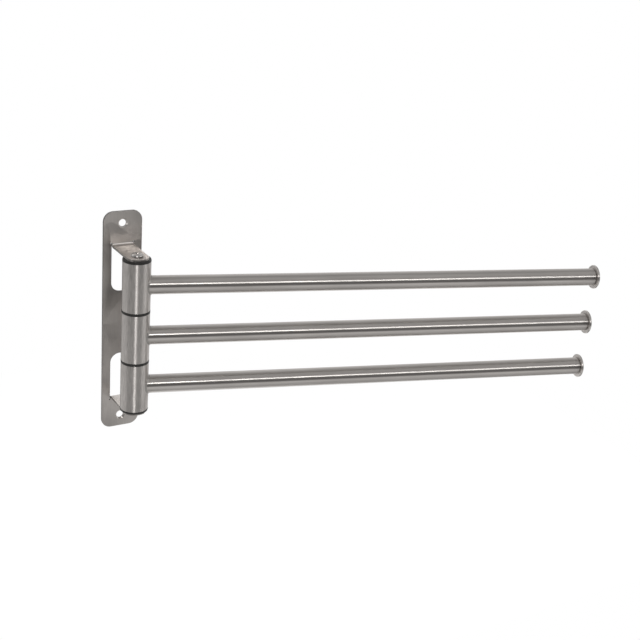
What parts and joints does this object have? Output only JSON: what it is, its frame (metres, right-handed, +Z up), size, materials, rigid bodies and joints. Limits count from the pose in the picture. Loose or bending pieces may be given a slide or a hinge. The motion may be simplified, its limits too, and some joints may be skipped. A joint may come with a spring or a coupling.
{
  "type": "swing arm towel bar",
  "caption": "Wall-mounted towel bar with straight tube arms that swing one by one about an upright pivot rod carried by tabs bent out of a slim wall plate.",
  "frame": {"origin": "middle of the wall plate's back face, on the wall", "axes": "+Z up, -Y out of the wall into the room, +X towards the arms' free ends at rest"},
  "size_m": [0.3441, 0.1239, 0.16],
  "materials": {
    "plate_steel": "brushed, warm grey, grain up and down the plate",
    "tube_steel": "brushed along the tube, warm grey with a sharp lengthwise highlight",
    "cap_steel": "turned, softly rounded rim",
    "weld_steel": "blended seam, slightly duller than the tubes",
    "rod_steel": "ground",
    "screw_steel": "bright, smooth",
    "black_plastic": "moulded, matt"
  },
  "bodies": {
    "root": {"wall_plate": "plate_steel", "pivot_rod": "rod_steel", "pivot_screw_top": "screw_steel", "pivot_screw_bottom": "screw_steel", "friction_washer_top": "black_plastic", "friction_washer_bottom": "black_plastic"},
    "arm_lower": {"barrel_lower": "tube_steel", "arm_tube_lower": "tube_steel", "weld_seam_lower": "weld_steel", "end_cap_lower": "cap_steel", "bush_lower_top": "black_plastic", "bush_lower_bottom": "black_plastic"},
    "arm_middle": {"barrel_middle": "tube_steel", "arm_tube_middle": "tube_steel", "weld_seam_middle": "weld_steel", "end_cap_middle": "cap_steel", "bush_middle_top": "black_plastic", "bush_middle_bottom": "black_plastic"},
    "arm_upper": {"barrel_upper": "tube_steel", "arm_tube_upper": "tube_steel", "weld_seam_upper": "weld_steel", "end_cap_upper": "cap_steel", "bush_upper_top": "black_plastic", "bush_upper_bottom": "black_plastic"}
  },
  "joints": [
    {"name": "swing_lower", "type": "hinge", "parent": "root", "child": "arm_lower", "pos_m": [0, -0.027, 0], "axis": [0, 0, -1], "range_deg": [-15.1, 164.9]},
    {"name": "swing_middle", "type": "hinge", "parent": "root", "child": "arm_middle", "pos_m": [0, -0.027, 0], "axis": [0, 0, -1], "range_deg": [-15.1, 164.9]},
    {"name": "swing_upper", "type": "hinge", "parent": "root", "child": "arm_upper", "pos_m": [0, -0.027, 0], "axis": [0, 0, -1], "range_deg": [-15.1, 164.9]}
  ]
}
